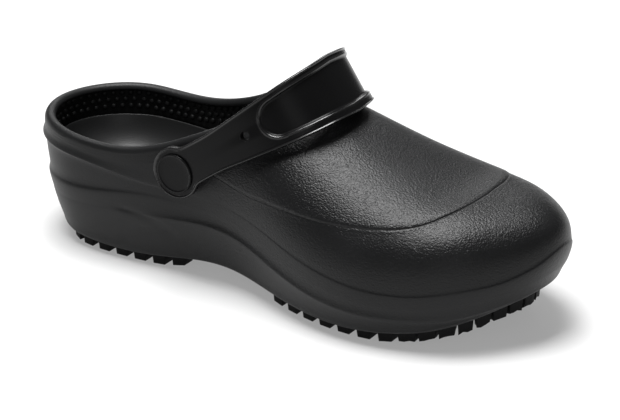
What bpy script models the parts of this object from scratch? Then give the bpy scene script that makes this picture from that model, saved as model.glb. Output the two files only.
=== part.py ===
"""Chef clog, right shoe, put together as its maker does.

The foam shell is upper and midsole moulded in one. A rubber outsole is bonded into a recess under
it, a footbed lies loose inside, and a heel strap, swung forward over the instep, hangs on two rivets.

The model is in metres: +X to the toe, +Y to the inner side of the foot, +Z up, and the floor at Z = 0.
Tables are a last maker's: `along` is a share of LENGTH, widths are shares of BALL_WIDTH, crest heights
are shares of INSTEP_HEIGHT, and names that end in _mm are millimetres.
"""

import bmesh
import bpy
import numpy as np
from mathutils import Matrix, Vector

MM = 0.001

# Driving dimensions, in millimetres
LENGTH = 280.0
BALL_WIDTH = 106.0
INSTEP_HEIGHT = 90.0
WALL = 4.2
RIM_WALL = 5.6
GAP = 0.3


def table(columns, rows):
    """A short table as named columns of numbers."""
    return dict(zip(columns.split(), np.array(rows, float).T))


# Widest line in plan, on the outer and the inner side of the foot
PLAN = table(
    "along outer inner",
    [
        (0.030, 0.215, 0.215),
        (0.100, 0.350, 0.350),
        (0.200, 0.381, 0.378),
        (0.300, 0.366, 0.366),
        (0.380, 0.337, 0.350),
        (0.460, 0.352, 0.350),
        (0.560, 0.430, 0.390),
        (0.650, 0.488, 0.450),
        (0.730, 0.497, 0.492),
        (0.810, 0.455, 0.505),
        (0.880, 0.375, 0.471),
        (0.945, 0.215, 0.374),
    ],
)
TOE_TIP_ACROSS = 0.120

# Top line of the closed last, and how square its sections are: a power of 2 is an ellipse
CREST = table(
    "along height width_power height_power",
    [
        (0.10, 1.25, 2.6, 2.2),
        (0.35, 1.12, 2.5, 2.2),
        (0.50, 1.03, 2.3, 2.1),
        (0.60, 0.945, 2.2, 2.0),
        (0.70, 0.830, 2.3, 2.1),
        (0.80, 0.725, 2.7, 2.7),
        (0.90, 0.650, 3.1, 3.2),
    ],
)

# Lines round the shell's side, as heights over the floor, and how far the sole's edge is drawn in
SIDE = table(
    "along lip_mm cup_mm crease_mm inset_mm",
    [
        (0.00, 25.0, 33.0, 51.0, 12.0),
        (0.08, 25.0, 34.0, 51.0, 7.0),
        (0.18, 27.0, 36.0, 49.5, 4.8),
        (0.28, 29.0, 40.0, 46.0, 5.0),
        (0.36, 30.0, 39.0, 45.0, 5.5),
        (0.46, 30.0, 37.0, 43.0, 5.5),
        (0.54, 26.0, 33.0, 40.0, 5.5),
        (0.62, 20.5, 28.0, 35.0, 5.2),
        (0.72, 16.5, 23.0, 30.0, 5.0),
        (0.82, 16.5, 22.5, 29.0, 5.5),
        (0.92, 20.0, 26.5, 33.5, 8.0),
        (0.95, 21.9, 28.4, 35.2, 9.1),
        (0.975, 23.4, 30.5, 38.6, 10.1),
        (0.99, 24.4, 32.2, 41.8, 10.6),
        (1.00, 25.0, 33.5, 45.5, 11.0),
    ],
)

# How far the side's steps stand out: the lip, the heel cup, the band between cup and crease, and the
# fold over the crease
RELIEF = table(
    "along lip_mm cup_mm band_mm fold_mm",
    [
        (0.00, 0.0, 1.1, -0.5, 0.9),
        (0.20, 0.0, 0.9, -0.5, 0.6),
        (0.30, 0.7, 0.3, -0.3, 0.2),
        (0.42, 1.4, 0.0, 0.0, 0.0),
        (0.60, 1.2, 0.0, 0.3, 0.0),
        (0.80, 1.0, 0.0, 0.5, 0.0),
        (1.00, 0.8, 0.0, 0.6, 0.0),
    ],
)

# Underside: height of the sole's edge, and of the lugs' feet
TREAD = table(
    "along edge_mm foot_mm",
    [
        (0.03, 9.0, 5.0),
        (0.08, 6.8, 1.2),
        (0.12, 6.0, 0.0),
        (0.30, 6.0, 0.0),
        (0.36, 7.6, 2.6),
        (0.44, 8.6, 4.0),
        (0.52, 7.0, 1.4),
        (0.57, 6.0, 0.0),
        (0.77, 6.0, 0.0),
        (0.84, 8.6, 2.9),
        (0.90, 13.2, 7.0),
        (0.96, 20.0, 13.4),
    ],
)

# Collar's outer edge, as a height over the floor, up to where the throat closes on the crest
COLLAR = table(
    "along height_mm",
    [
        (0.00, 58.5),
        (0.10, 58.5),
        (0.20, 57.5),
        (0.28, 60.5),
        (0.36, 69.0),
        (0.44, 80.0),
        (0.50, 86.5),
    ],
)
THROAT_ALONG = 0.545

# Edge of the raised vamp: where it crosses the way from the crease (0) to the collar (1)
VAMP = table(
    "along share raise_mm",
    [
        (0.32, 0.60, 0.0),
        (0.40, 0.60, 0.8),
        (0.55, 0.56, 0.9),
        (0.63, 0.515, 0.9),
        (0.70, 0.49, 0.9),
        (0.78, 0.455, 0.9),
        (0.86, 0.43, 0.9),
        (0.92, 0.445, 0.9),
        (0.96, 0.47, 0.9),
        (1.00, 0.50, 0.9),
    ],
)

# Cavity's floor, under the footbed
FLOOR = table(
    "along height_mm inset_mm",
    [
        (0.00, 21.0, 12.0),
        (0.15, 19.5, 10.0),
        (0.35, 19.0, 10.0),
        (0.50, 16.5, 9.5),
        (0.65, 13.5, 9.5),
        (0.78, 14.0, 10.5),
        (0.90, 20.5, 13.0),
        (1.00, 30.0, 16.0),
    ],
)

# The last's spine, from the heel's centre to the toe's
HEEL_X = 0.135 * LENGTH
TOE_X = 0.820 * LENGTH
TOE_Y = 0.110 * BALL_WIDTH

# The shell's columns: in the heel's quarter circle, along the side and in the toe's quarter circle
HEEL_COLUMNS = 6
SIDE_COLUMNS = 15
TOE_COLUMNS = 10
# Columns from this hour on lean back towards the throat
LEAN_HOUR = 1.30
LEAN_POWER = 2.4

# Outsole, bonded into a recess
RECESS_INSET_MM = 2.6
PLATE_MM = 2.2
PLATE_SIDE_GAP_MM = 0.5
LUG_PITCH_MM = 10.6
TOE_LUG_PITCH_MM = 9.6
TOE_TREAD_ALONG = 0.80
LUG_GAP_SHARE = 0.35
TOE_LUG_GAP_SHARE = 0.13
LUG_TAPER = 0.88
WAIST_FROM = 0.352
WAIST_TO = 0.55

# Footbed, and how far its edge turns up
FOOTBED_MM = 3.6
FOOTBED_SIDE_GAP_MM = 0.6
FOOTBED = table("along cup_mm", [(0.0, 5.0), (0.3, 4.5), (0.5, 3.5), (0.7, 1.5), (1.0, 1.2)])

# Rivets: their axis runs across the shoe, and a shank holds strap and shell between two heads
RIVET_ALONG = 0.360
RIVET_HEIGHT_MM = 56.5
RIVET_STEPS = 24
PINHOLE_STEPS = 16
HEAD_RADIUS_MM = 9.7
SHANK_RADIUS_MM = 3.4
INNER_HEAD_RADIUS_MM = 5.5
HOLE_RADIUS_MM = 3.8

# Strap: a band that stands square to a plane through the rivets, which slopes up over the instep
STRAP_SLOPE = np.radians(34.8)
STRAP_REACH_MM = 77.5
STRAP_POWER = 2.6
STRAP_MM = 3.2
STRAP_END_MM = 12.6
STRAP_RECESS_MM = 1.1
STRAP_LOWER_RIM_MM = 0.8
PANEL_FROM_RIVET_MM = 54.0
PANEL_RIM_MM = 4.1
PINHOLE_FROM_RIVET_MM = 45.0
PINHOLE_RADIUS_MM = 1.9
STRAP = table(
    "from_rivet_mm width_mm",
    [
        (0.0, 25.2),
        (11.0, 18.8),
        (26.0, 18.2),
        (45.0, 22.0),
        (70.0, 27.5),
        (105.0, 31.5),
    ],
)


def spline(knots, values, closed=False):
    """A smooth cubic function through the values at the knots, which keeps its end values past them."""
    knots = np.asarray(knots, float)
    values = np.asarray(values, float)
    columns = values.reshape(len(knots), -1)
    step = np.diff(knots)
    rise = np.diff(columns, axis=0) / step[:, None]
    count = len(knots)
    system = np.zeros((count, count))
    right = np.zeros_like(columns)
    for i in range(1, count - 1):
        system[i, i - 1 : i + 2] = step[i - 1], 2 * (step[i - 1] + step[i]), step[i]
        right[i] = 6 * (rise[i] - rise[i - 1])
    if closed:
        system[0, [0, -1]] = 1, -1
        system[-1, [0, 1, -2, -1]] = 2 * step[0], step[0], step[-1], 2 * step[-1]
        right[-1] = 6 * (rise[0] - rise[-1])
    else:
        system[0, 0] = 1
        system[-1, -1] = 1
    bend = np.linalg.solve(system, right)

    def at(place):
        place = np.clip(np.asarray(place, float), knots[0], knots[-1])
        flat = place.reshape(-1)
        i = np.clip(np.searchsorted(knots, flat) - 1, 0, count - 2)
        after = ((flat - knots[i]) / step[i])[:, None]
        before = 1 - after
        curved = (before**3 - before) * bend[i] + (after**3 - after) * bend[i + 1]
        found = before * columns[i] + after * columns[i + 1] + curved * step[i][:, None] ** 2 / 6
        return found.reshape(place.shape + values.shape[1:])

    return at


def along(rows, column, unit=1.0):
    """A table's column as a function of millimetres along the shoe."""
    return spline(rows["along"] * LENGTH, rows[column] * unit)


crest_height = along(CREST, "height", INSTEP_HEIGHT)
width_power = along(CREST, "width_power")
height_power = along(CREST, "height_power")
crease_height = along(SIDE, "crease_mm")
edge_height = along(TREAD, "edge_mm")
floor_height = along(FLOOR, "height_mm")


def widest_outline():
    """Plan points round the widest line, from the heel by the outer side to the toe and back."""
    x = PLAN["along"] * LENGTH
    outer = np.column_stack([x, -PLAN["outer"] * BALL_WIDTH])
    inner = np.column_stack([x, PLAN["inner"] * BALL_WIDTH])[::-1]
    heel = [0.0, 0.0]
    toe = [LENGTH, TOE_TIP_ACROSS * BALL_WIDTH]
    points = np.vstack([heel, outer, toe, inner, heel])
    knots = np.concatenate([[0], np.cumsum(np.linalg.norm(np.diff(points, axis=0), axis=1))])
    return spline(knots, points, closed=True)(np.linspace(0, knots[-1], 1441)[:-1])


def spine_point(share):
    """The spine's plan point at a share of the way from the heel's centre to the toe's."""
    share = np.clip(share, 0, 1)
    return np.stack([HEEL_X + (TOE_X - HEEL_X) * share, TOE_Y * share], -1)


def clock(x, y):
    """A plan point's hour and its distance from the spine.

    Hours run 0 at the heel, 1 to 2 along the outer side, 3 at the toe and 4 to 5 along the inner side.
    """
    share = np.clip((x - HEEL_X) / (TOE_X - HEEL_X), 0, 1)
    foot = spine_point(share)
    ahead = x - foot[..., 0]
    aside = y - foot[..., 1]
    turn = np.arctan2(np.abs(ahead), np.abs(aside)) / (np.pi / 2)
    hour = np.where(ahead < -1e-9, 1 - turn, np.where(ahead > 1e-9, 2 + turn, 1 + share))
    return np.where(aside > 0, 6 - hour, hour) % 6, np.hypot(ahead, aside)


def ray(hour):
    """The spine's point at an hour, and the level direction from it to the outline."""
    half = np.where(hour > 3, 6 - hour, hour)
    turn = (np.clip(half - 2, 0, 1) - np.clip(1 - half, 0, 1)) * np.pi / 2
    aside = np.where(hour > 3, 1, -1) * np.cos(turn)
    return spine_point(half - 1), np.stack([np.sin(turn), aside], -1)


OUTLINE = widest_outline()
OUTLINE_HOUR, OUTLINE_REACH = clock(OUTLINE[:, 0], OUTLINE[:, 1])


def reach(hour):
    """How far the widest line lies from the spine."""
    return np.interp(hour, OUTLINE_HOUR, OUTLINE_REACH, period=6)


def widest_x(hour):
    """Where along the shoe the widest line lies at an hour."""
    foot, out = ray(hour)
    return np.clip(foot[..., 0] + reach(hour) * out[..., 0], 0, LENGTH)


def plan_point(hour, away):
    """The plan point at an hour and a distance from the spine."""
    foot, out = ray(hour)
    return foot + out * np.asarray(away)[..., None]


def dome(x, y):
    """Height of the closed last over a plan point inside the widest line."""
    hour, away = clock(x, y)
    middle = np.clip(x, HEEL_X, TOE_X)
    low = crease_height(widest_x(hour))
    inward = np.clip(away / reach(hour), 0, 1)
    bulge = (1 - inward ** width_power(middle)) ** (1 / height_power(middle))
    return low + (crest_height(middle) - low) * bulge


def share_out(hour, height):
    """Share of the reach at which the last comes down to a height."""
    middle = ray(hour)[0][..., 0]
    low = crease_height(widest_x(hour))
    share = np.clip((height - low) / (crest_height(middle) - low), 0, 1)
    return (1 - share ** height_power(middle)) ** (1 / width_power(middle))


def shoe_hours(heel_count, side_count, toe_count):
    """Hours right round the shoe, alike on both sides, so that the columns meet on the spine."""
    heel = np.arange(heel_count) / heel_count
    side = 1 + np.arange(side_count) / side_count
    toe = 2 + np.arange(toe_count + 1) / toe_count
    outer = np.concatenate([heel, side, toe])
    return np.concatenate([outer, 6 - outer[-2:0:-1]])


HOURS = shoe_hours(HEEL_COLUMNS, SIDE_COLUMNS, TOE_COLUMNS)


def collar_line():
    """The collar's plan points, one to a column, and how far out each lies."""
    throat = THROAT_ALONG * LENGTH
    places = np.append(COLLAR["along"] * LENGTH, throat)
    heights = np.append(COLLAR["height_mm"], crest_height(throat))
    height_at = spline(places, heights)
    half = np.where(HOURS > 3, 6 - HOURS, HOURS)
    first = spine_point(LEAN_HOUR - 1)[0]
    late = np.clip((half - LEAN_HOUR) / (3 - LEAN_HOUR), 0, 1)
    lean_x = throat - (throat - first) * (1 - late) ** LEAN_POWER
    half = np.where(half < LEAN_HOUR, half, 1 + (lean_x - HEEL_X) / (TOE_X - HEEL_X))
    hour = np.where(HOURS > 3, 6 - half, half) % 6
    out = share_out(hour, height_at(widest_x(hour)))
    return plan_point(hour, out * reach(hour)), out


def lifted(plan, height):
    """Plan points with their heights."""
    return np.column_stack([plan, np.broadcast_to(height, len(plan))])


def side_rows():
    """Rows up the shell's side, from the sole's edge to the crease, and how far each stands out."""
    x = widest_x(HOURS)
    lip, cup, crease, inset = (along(SIDE, n)(x) for n in ("lip_mm", "cup_mm", "crease_mm", "inset_mm"))
    lip_out, cup_out, band_out = (along(RELIEF, n)(x) for n in ("lip_mm", "cup_mm", "band_mm"))
    wide = reach(HOURS)
    edge = edge_height(plan_point(HOURS, wide - inset)[:, 0])
    below = cup_out + band_out
    heights_and_relief = [
        (edge, 0 * x),
        (edge + 1.2, 0.6 * below),
        (0.5 * edge + 0.5 * lip, below - 0.2 * lip_out),
        (lip - 1.2, below + 0.7 * lip_out),
        (lip, below + lip_out),
        (lip + 1.5, below + 0.4 * lip_out),
        (0.5 * lip + 0.5 * cup, below),
        (cup - 0.7, below),
        (cup + 0.2, band_out),
        (0.5 * cup + 0.5 * crease, band_out),
        (crease - 0.6, band_out),
    ]
    rows = []
    for height, _ in heights_and_relief:
        rise = np.clip((height - edge) / (crease - edge), 0, 1)
        rows.append(lifted(plan_point(HOURS, wide - inset * (1 - rise) ** 2), height))
    return rows, [proud for _, proud in heights_and_relief]


def dome_rows():
    """Rows up the shell's dome, from the crease to the collar, and how far each stands out."""
    x = widest_x(HOURS)
    start = plan_point(HOURS, reach(HOURS))
    end, out = collar_line()
    turn = np.arccos(out)
    edge = along(VAMP, "share")(x)
    raised = along(VAMP, "raise_mm")(x)
    fold = along(RELIEF, "fold_mm")(x)
    half_step = 0.7 / (np.linalg.norm(end - start, axis=1) + 12)
    shares = [edge * s for s in (0.0, 0.15, 0.38, 0.68)]
    shares += [edge - half_step, edge + half_step]
    shares += [edge + (1 - edge) * s for s in (0.16, 0.34, 0.52, 0.70, 0.86, 1.0)]
    rows = []
    for share in shares:
        way = (1 - np.cos(turn * share)) / (1 - np.cos(turn))
        plan = start + (end - start) * way[:, None]
        rows.append(lifted(plan, dome(plan[:, 0], plan[:, 1])))
    return rows, [fold, fold, 0.5 * fold, 0 * x, 0 * x] + [raised] * 7


def outward(rows):
    """Unit normals of a closed band of rows that run up the outside."""
    round_way = np.roll(rows, -1, axis=1) - np.roll(rows, 1, axis=1)
    up_way = np.gradient(rows, axis=0)
    normal = np.cross(round_way, up_way)
    return normal / np.linalg.norm(normal, axis=2, keepdims=True)


def cavity_inset(x, rise):
    """How far in from the widest line the cavity's wall lies, at a share of the way up to the crease."""
    return WALL + (along(FLOOR, "inset_mm")(x) - WALL) * (1 - rise) ** 3


def cavity_row(hours, rise, side_gap=0.0, floor_gap=0.0):
    """A row round the cavity's lower wall, or inside it by a gap."""
    x = widest_x(hours)
    plan = plan_point(hours, reach(hours) - cavity_inset(x, rise) - side_gap)
    floor = floor_height(plan[:, 0])
    return lifted(plan, floor + floor_gap + (crease_height(x) - floor) * rise)


def underside_rows():
    """Rows from the spine under the shell, across the outsole's recess, to the foot of its wall."""
    recess = sole_reach(HOURS) - RECESS_INSET_MM
    deep = PLATE_MM + GAP
    rows = []
    for share, up in ((0.0, deep), (0.5, deep), (1.0, deep), (1.0, 0.0)):
        plan = plan_point(HOURS, recess * share)
        rows.append(lifted(plan, edge_height(plan[:, 0]) + up))
    return rows


def rim_rows(edge, normal):
    """Rows of the half round rim that carries the outside's last row over to the inside."""
    round_way = np.roll(edge, -1, axis=0) - np.roll(edge, 1, axis=0)
    over = np.cross(normal, round_way)
    over /= np.linalg.norm(over, axis=1, keepdims=True)
    radius = RIM_WALL / 2
    centre = edge - normal * radius
    turns = np.radians([36, 72, 108, 144, 180])
    return [centre + radius * (normal * np.cos(turn) + over * np.sin(turn)) for turn in turns]


def floor_rows(edge, shares, height):
    """Rows from a closed edge in to the spine, at heights found from each row's plan and share."""
    rows = []
    for share in shares:
        plan = ray(HOURS)[0] * (1 - share) + edge[:, :2] * share
        rows.append(lifted(plan, height(plan[:, 0], share)))
    return rows


def shell_rows():
    """Every row of the shell, from the spine under it, round the outside and the rim, to its floor."""
    low, low_relief = side_rows()
    high, high_relief = dome_rows()
    smooth = np.array(low + high)
    relief = np.array(low_relief + high_relief)
    normal = outward(smooth)
    outside = smooth + normal * relief[..., None]
    rim = rim_rows(outside[-1], normal[-1])

    crease = len(low)
    thick = [(WALL + (RIM_WALL - WALL) * share) for share in (0.4, 0, 0, 0, 0, 0, 0, 0)]
    down = [crease + step for step in (10, 9, 8, 7, 6, 3, 2, 0)]
    inside = [smooth[row] - normal[row] * wall for row, wall in zip(down, thick)]
    lower = [cavity_row(HOURS, rise) for rise in (0.66, 0.36, 0.12, 0.0)]
    floor = floor_rows(lower[-1], (0.5, 0.0), lambda x, share: floor_height(x))
    return underside_rows() + list(outside) + rim + inside + lower + floor


def footbed_rows():
    """Rows of the footbed, from the spine under it, up its side, to the spine on its dished top."""
    x = widest_x(HOURS)
    tall = crease_height(x) - floor_height(x)
    cup = along(FOOTBED, "cup_mm")(x)
    thick = FOOTBED_MM + cup
    bottom, low, high = (
        cavity_row(HOURS, share * thick / tall, FOOTBED_SIDE_GAP_MM, GAP) for share in (0.0, 0.45, 0.9)
    )
    top = cavity_row(HOURS, thick / tall, FOOTBED_SIDE_GAP_MM + 1.0, GAP)
    under = floor_rows(bottom, (0.0, 0.5), lambda x, share: floor_height(x) + GAP)
    level = GAP + FOOTBED_MM
    shares = (0.92, 0.8, 0.62, 0.36, 0.0)
    dish = floor_rows(top, shares, lambda x, share: floor_height(x) + level + cup * share**4)
    return under + [bottom, low, high, top] + dish


def sole_reach(hours):
    """How far the sole's edge lies from the spine."""
    return reach(hours) - along(SIDE, "inset_mm")(widest_x(hours))


def tread_hours():
    """Hours of the outsole's columns: each pair of them bounds one lug."""
    half = np.linspace(0, 3, 601)
    points = plan_point(half, sole_reach(half))
    steps = np.linalg.norm(np.diff(points, axis=0), axis=1)
    pitch = np.where(points[1:, 0] > TOE_TREAD_ALONG * LENGTH, TOE_LUG_PITCH_MM, LUG_PITCH_MM)
    phase = np.concatenate([[0], np.cumsum(steps / pitch)])
    count = int(round(phase[-1]))
    middles = np.interp(np.arange(count) + 0.5, phase * count / phase[-1], points[:, 0])
    gap = np.where(middles > TOE_TREAD_ALONG * LENGTH, TOE_LUG_GAP_SHARE, LUG_GAP_SHARE)
    starts = np.arange(count) + gap / 2
    bounds = np.column_stack([starts, starts + 1 - gap]).ravel()
    outer = np.interp(bounds, phase * count / phase[-1], half)
    return np.concatenate([outer, 6 - outer[::-1]])


def foot_height(x):
    """Height of the lugs' feet, straight from place to place so that the feet stand flat."""
    return np.interp(x, TREAD["along"] * LENGTH, TREAD["foot_mm"])


def draw_down_lugs(form, faces, hours):
    """Draw a lug down from each second column of the plate's rim and middle."""
    outer_band, middle_band = 3, 1
    lugs = []
    for band in (outer_band, middle_band):
        for column in range(0, len(hours), 2):
            face = faces[band][column]
            if not WAIST_FROM < face.calc_center_median().x / MM / LENGTH < WAIST_TO:
                lugs.append(face)
    for face in bmesh.ops.extrude_discrete_faces(form, faces=lugs)["faces"]:
        middle = face.calc_center_median()
        for vertex in face.verts:
            vertex.co = middle + (vertex.co - middle) * LUG_TAPER
            vertex.co.z = foot_height(vertex.co.x / MM) * MM


def outsole_form():
    """The outsole's plate with its lugs."""
    hours = tread_hours()
    wide = sole_reach(hours) - RECESS_INSET_MM - PLATE_SIDE_GAP_MM
    under = [(share, 0.0) for share in (0.0, 0.22, 0.64, 0.76, 1.0)]
    over = [(share, PLATE_MM) for share in (1.0, 0.5, 0.0)]
    rows = []
    for share, up in under + over:
        plan = plan_point(hours, wide * share)
        rows.append(lifted(plan, edge_height(plan[:, 0]) + up))
    form, faces = grid_form(rows)
    draw_down_lugs(form, faces, hours)
    return form


def side_across(x, height, side):
    """Y of the smooth outside at a place along the shoe and a height, on side -1 (outer) or +1 (inner)."""
    hour = 1 + (x - HEEL_X) / (TOE_X - HEEL_X)
    hour = hour if side < 0 else 6 - hour
    return plan_point(hour, share_out(hour, height) * reach(hour))[1]


def seat_across(side):
    """Y of the shell's outermost and innermost place behind a strap end."""
    turns = np.radians(np.arange(0, 360, 30))
    x = RIVET_ALONG * LENGTH + STRAP_END_MM * np.append(np.cos(turns), 0)
    z = RIVET_HEIGHT_MM + STRAP_END_MM * np.append(np.sin(turns), 0)
    places = [abs(side_across(a, b, side)) for a, b in zip(x, z) if b < RIVET_HEIGHT_MM + 6]
    return max(places), min(places)


STRAP_SIDES = {side: side * (seat_across(side)[0] + GAP + 0.2) for side in (-1, 1)}
STRAP_MIDDLE = (STRAP_SIDES[1] + STRAP_SIDES[-1]) / 2
STRAP_HALF = (STRAP_SIDES[1] - STRAP_SIDES[-1]) / 2


def strap_path():
    """The strap's inner line in its own plane, as forward and across, and the distance along it."""
    turn = np.linspace(0, np.pi, 721)
    forward = STRAP_REACH_MM * np.sin(turn) ** (2 / STRAP_POWER)
    across = -STRAP_HALF * np.sign(np.cos(turn)) * np.abs(np.cos(turn)) ** (2 / STRAP_POWER)
    curve = np.column_stack([forward, STRAP_MIDDLE + across])
    tail = [[-STRAP_END_MM, STRAP_SIDES[-1]]]
    points = np.vstack([tail, curve, [[-STRAP_END_MM, STRAP_SIDES[1]]]])
    distance = np.concatenate([[0], np.cumsum(np.linalg.norm(np.diff(points, axis=0), axis=1))])
    return points, distance


def strap_stations(total):
    """Distances along the strap at which it gets a section: close at its round ends."""
    round_end = STRAP_END_MM * (1 - np.cos(np.radians([8, 25, 45, 67])))
    middle = np.linspace(STRAP_END_MM, total - STRAP_END_MM, 43)
    panel = STRAP_END_MM + PANEL_FROM_RIVET_MM
    oval = np.array([-0.5, 0.3, 1.4, 3.4, 6.0])
    middle = np.concatenate([middle, panel + oval, total - panel - oval])
    return np.sort(np.concatenate([round_end, middle, total - round_end]))


def strap_section(place, total):
    """One section of the strap as (across its width, outward) points, from the inside round."""
    along_end = min(place, total - place)
    from_rivet = along_end - STRAP_END_MM
    half = spline(STRAP["from_rivet_mm"], STRAP["width_mm"] / 2)(from_rivet)
    if along_end < STRAP_END_MM:
        half = np.sqrt(STRAP_END_MM**2 - from_rivet**2)
    soft = min(0.7, 0.25 * half)
    lip = min(0.4, 0.12 * half)
    into_panel = max(from_rivet - PANEL_FROM_RIVET_MM, 0.0)
    radius = half - PANEL_RIM_MM
    oval = np.sqrt(max(radius**2 - max(radius - into_panel, 0.0) ** 2, 0.0)) if into_panel else 0.0
    recess = STRAP_RECESS_MM if into_panel else 0.0
    wall = max(oval, 0.25 * half)
    lower_rim = STRAP_LOWER_RIM_MM * np.clip(from_rivet / 60, 0, 1)
    top = STRAP_MM
    inner = [(-half, soft), (-half + soft, 0), (0, 0), (half - soft, 0), (half, soft)]
    high = wall + 0.5
    low = wall - 0.5
    upper = [(half, top - soft), (half - soft, top), (high + lip, top), (high, top - recess)]
    lower = [(-low, top - recess), (-low - 1.5 * lip, top + lower_rim)]
    rim = [(-half + soft, top + lower_rim), (-half, top + lower_rim - soft)]
    return np.array(inner + upper + lower + rim)


def on_strap(plane_points, width=0.0):
    """Places of points in the strap's plane, as forward and across, and at a width up from it."""
    forward = np.array([np.cos(STRAP_SLOPE), 0, np.sin(STRAP_SLOPE)])
    upward = np.array([-np.sin(STRAP_SLOPE), 0, np.cos(STRAP_SLOPE)])
    rivet = np.array([RIVET_ALONG * LENGTH, 0, RIVET_HEIGHT_MM])
    width = np.broadcast_to(width, len(plane_points))
    places = rivet + np.outer(plane_points[:, 0], forward) + np.outer(width, upward)
    places[:, 1] += plane_points[:, 1]
    return places


def strap_rows():
    """Rows along the strap, one for each point of its section."""
    points, distance = strap_path()
    total = distance[-1]
    stations = strap_stations(total)
    middle = np.column_stack([np.interp(stations, distance, points[:, i]) for i in (0, 1)])
    ahead = np.column_stack([np.interp(stations + 0.5, distance, points[:, i]) for i in (0, 1)])
    behind = np.column_stack([np.interp(stations - 0.5, distance, points[:, i]) for i in (0, 1)])
    heading = (ahead - behind) / np.linalg.norm(ahead - behind, axis=1, keepdims=True)
    away = np.column_stack([heading[:, 1], -heading[:, 0]])
    sections = np.array([strap_section(place, total) for place in stations])
    rows = []
    for point in range(sections.shape[1]):
        width, out = sections[:, point, 0], sections[:, point, 1]
        rows.append(on_strap(middle + away * out[:, None], width))
    return rows


def pinhole_places():
    """The places of the small holes through the strap's two legs."""
    points, distance = strap_path()
    ways = STRAP_END_MM + PINHOLE_FROM_RIVET_MM, distance[-1] - STRAP_END_MM - PINHOLE_FROM_RIVET_MM
    return on_strap(np.column_stack([np.interp(ways, distance, points[:, i]) for i in (0, 1)]))


def grid_form(rows, round_and_round=True):
    """A closed form from rows of points, and its faces by row and column."""
    form = bmesh.new()
    verts = [[form.verts.new(Vector(point) * MM) for point in row] for row in rows]
    count = len(rows[0])
    last = count if round_and_round else count - 1
    pairs = list(zip(verts, verts[1:])) if round_and_round else list(zip(verts, verts[1:] + verts[:1]))
    faces = []
    for below, above in pairs:
        band = []
        for here in range(last):
            after = (here + 1) % count
            band.append(form.faces.new((below[here], below[after], above[after], above[here])))
        faces.append(band)
    if not round_and_round:
        form.faces.new([row[0] for row in verts])
        form.faces.new([row[-1] for row in reversed(verts)])
    bmesh.ops.remove_doubles(form, verts=form.verts, dist=1e-7)
    return form, faces


def finish(form, name, material):
    """A smooth shaded object in the part's collection from a form."""
    mesh = bpy.data.meshes.new(name)
    form.to_mesh(mesh)
    form.free()
    mesh.shade_smooth()
    mesh.set_sharp_from_angle(angle=np.radians(35))
    mesh.materials.append(material)
    thing = bpy.data.objects.new(name, mesh)
    PART.objects.link(thing)
    return thing


def plain_material(name, colour, roughness):
    """A plain finish."""
    made = bpy.data.materials.new(name)
    made.use_nodes = True
    surface = made.node_tree.nodes["Principled BSDF"]
    surface.inputs["Base Color"].default_value = (*colour, 1)
    surface.inputs["Roughness"].default_value = roughness
    surface.inputs["Metallic"].default_value = 0
    return made


def pin_cutter(name, radius, place, steps):
    """A long round cutter that lies across the shoe."""
    form = bmesh.new()
    turn = Matrix.Rotation(np.pi / 2, 4, "X")
    wide = radius * MM
    bmesh.ops.create_cone(
        form, cap_ends=True, segments=steps, radius1=wide, radius2=wide, depth=0.03, matrix=turn
    )
    mesh = bpy.data.meshes.new(name)
    form.to_mesh(mesh)
    form.free()
    cutter = bpy.data.objects.new(name, mesh)
    cutter.location = Vector(place) * MM
    cutter.hide_render = True
    cutter.display_type = "WIRE"
    CUTTERS.objects.link(cutter)
    return cutter


def cut(thing, cutter):
    """Take a cutter's form out of an object."""
    modifier = thing.modifiers.new(cutter.name, "BOOLEAN")
    modifier.operation = "DIFFERENCE"
    modifier.solver = "EXACT"
    modifier.object = cutter


def rivet(name, side, material):
    """A turned rivet with a dished head, its axis pointing out of the shoe."""
    outmost, inmost = seat_across(side)
    grip = STRAP_MM + abs(STRAP_SIDES[side]) - inmost + WALL + 1.2
    profile = [
        (0.0, 1.2),
        (HEAD_RADIUS_MM - 1.8, 1.3),
        (HEAD_RADIUS_MM - 1.3, 2.0),
        (HEAD_RADIUS_MM - 0.5, 2.0),
        (HEAD_RADIUS_MM, 1.4),
        (HEAD_RADIUS_MM, GAP),
        (SHANK_RADIUS_MM, GAP),
        (SHANK_RADIUS_MM, -grip),
        (INNER_HEAD_RADIUS_MM, -grip),
        (INNER_HEAD_RADIUS_MM, -grip - 1.0),
        (INNER_HEAD_RADIUS_MM - 1.0, -grip - 1.7),
        (0.0, -grip - 1.7),
    ]
    mesh = bpy.data.meshes.new(name)
    edges = [(i, i + 1) for i in range(len(profile) - 1)]
    mesh.from_pydata([(radius * MM, 0, up * MM) for radius, up in profile], edges, [])
    mesh.materials.append(material)
    thing = bpy.data.objects.new(name, mesh)
    turned = thing.modifiers.new("Turned", "SCREW")
    turned.steps = RIVET_STEPS
    turned.render_steps = RIVET_STEPS
    turned.use_merge_vertices = True
    turned.merge_threshold = 1e-5
    turned.use_smooth_shade = True
    thing.rotation_euler = (-side * np.pi / 2, 0, 0)
    face = STRAP_SIDES[side] + side * STRAP_MM
    thing.location = Vector((RIVET_ALONG * LENGTH, face, RIVET_HEIGHT_MM)) * MM
    PART.objects.link(thing)
    return thing


def centre_on_origin():
    """Set the whole shoe over the origin, in the middle of its box and standing on the floor."""
    bpy.context.view_layer.update()
    corners = [thing.matrix_world @ Vector(corner) for thing in PART.objects for corner in thing.bound_box]
    low = Vector(min(corner[i] for corner in corners) for i in range(3))
    high = Vector(max(corner[i] for corner in corners) for i in range(3))
    shift = Vector(((low.x + high.x) / 2, (low.y + high.y) / 2, low.z))
    for thing in list(PART.objects) + list(CUTTERS.objects):
        thing.location -= shift


for old in list(bpy.data.objects):
    bpy.data.objects.remove(old)

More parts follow.
